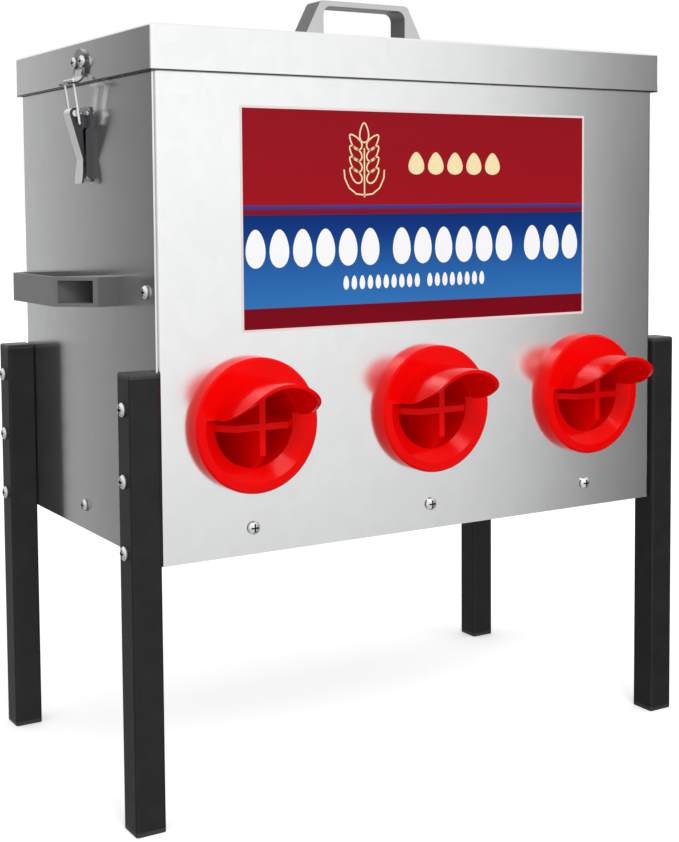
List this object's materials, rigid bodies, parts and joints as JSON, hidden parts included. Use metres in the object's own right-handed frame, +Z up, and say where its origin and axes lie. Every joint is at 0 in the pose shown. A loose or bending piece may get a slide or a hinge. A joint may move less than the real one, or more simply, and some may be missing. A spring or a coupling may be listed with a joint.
{
  "type": "poultry hopper feeder",
  "caption": "Galvanised sheet-steel hopper on tube legs with hooded feeding ports, carrying handles and a lift-off lid held by toggle latches.",
  "frame": {"origin": "on the floor under the middle of the overall box", "axes": "+X to the feeder's right, +Y from the ports to the back, +Z up"},
  "size_m": [0.472, 0.293, 0.529],
  "materials": {
    "galvanised": "satin galvanised",
    "label": "printed vinyl film",
    "port_red": "glossy moulded red",
    "nut_red": "moulded red",
    "leg_black": "satin black powder coat",
    "cap_black": "black polyethylene",
    "fastener_zinc": "bright zinc plate",
    "handle_grey": "fine-grained grey plastic",
    "latch_chrome": "bright nickel plate"
  },
  "bodies": {
    "hopper": {"front_panel": "galvanised", "back_panel": "galvanised", "side_panel_left": "galvanised", "side_panel_right": "galvanised", "bottom_tray": "galvanised", "feed_slope_plate": "galvanised", "front_label": "label", "port_left": "port_red", "port_middle": "port_red", "port_right": "port_red", "port_lock_nut_left": "nut_red", "port_lock_nut_middle": "nut_red", "port_lock_nut_right": "nut_red", "leg_front_left": "leg_black", "leg_front_right": "leg_black", "leg_back_left": "leg_black", "leg_back_right": "leg_black", "leg_top_cap_front_left": "cap_black", "leg_top_cap_front_right": "cap_black", "leg_top_cap_back_left": "cap_black", "leg_top_cap_back_right": "cap_black", "leg_foot_cap_front_left": "cap_black", "leg_foot_cap_front_right": "cap_black", "leg_foot_cap_back_left": "cap_black", "leg_foot_cap_back_right": "cap_black", "leg_bolts": "fastener_zinc", "leg_bolt_nuts": "fastener_zinc", "wall_screws": "fastener_zinc", "wall_screw_nuts": "fastener_zinc", "side_handle_screws": "fastener_zinc", "side_handle_nuts": "fastener_zinc", "latch_base_rivets": "fastener_zinc", "side_handle_left": "handle_grey", "side_handle_right": "handle_grey", "latch_base_left": "latch_chrome", "latch_base_right": "latch_chrome", "latch_pivot_pin_left": "latch_chrome", "latch_pivot_pin_right": "latch_chrome"},
    "lid": {"lid_shell": "galvanised", "lid_handle": "handle_grey", "lid_handle_screws": "fastener_zinc", "latch_keeper_left": "latch_chrome", "latch_keeper_right": "latch_chrome", "keeper_screws": "fastener_zinc", "keeper_nuts": "fastener_zinc"},
    "lever_left": {"latch_lever_left": "latch_chrome"},
    "lever_right": {"latch_lever_right": "latch_chrome"},
    "bail_left": {"latch_bail_left": "latch_chrome"},
    "bail_right": {"latch_bail_right": "latch_chrome"}
  },
  "joints": [
    {"name": "lid_lift", "type": "slide", "parent": "hopper", "child": "lid", "axis": [0, 0, 1], "range_m": [0, 0.15]},
    {"name": "latch_lever_left", "type": "hinge", "parent": "hopper", "child": "lever_left", "pos_m": [-0.21, 0.0135, 0.447], "axis": [0, 1, 0], "range_deg": [0, 120]},
    {"name": "latch_bail_left", "type": "hinge", "parent": "lever_left", "child": "bail_left", "pos_m": [-0.208, 0.0135, 0.4402], "axis": [0, 1, 0], "range_deg": [-120, 0]},
    {"name": "latch_lever_right", "type": "hinge", "parent": "hopper", "child": "lever_right", "pos_m": [0.21, 0.0135, 0.447], "axis": [0, -1, 0], "range_deg": [0, 120]},
    {"name": "latch_bail_right", "type": "hinge", "parent": "lever_right", "child": "bail_right", "pos_m": [0.208, 0.0135, 0.4402], "axis": [0, -1, 0], "range_deg": [-120, 0]}
  ],
  "couplings": [
    {"joint": "latch_bail_left", "follows": "latch_lever_left", "ratio": -1},
    {"joint": "latch_bail_right", "follows": "latch_lever_right", "ratio": -1}
  ]
}
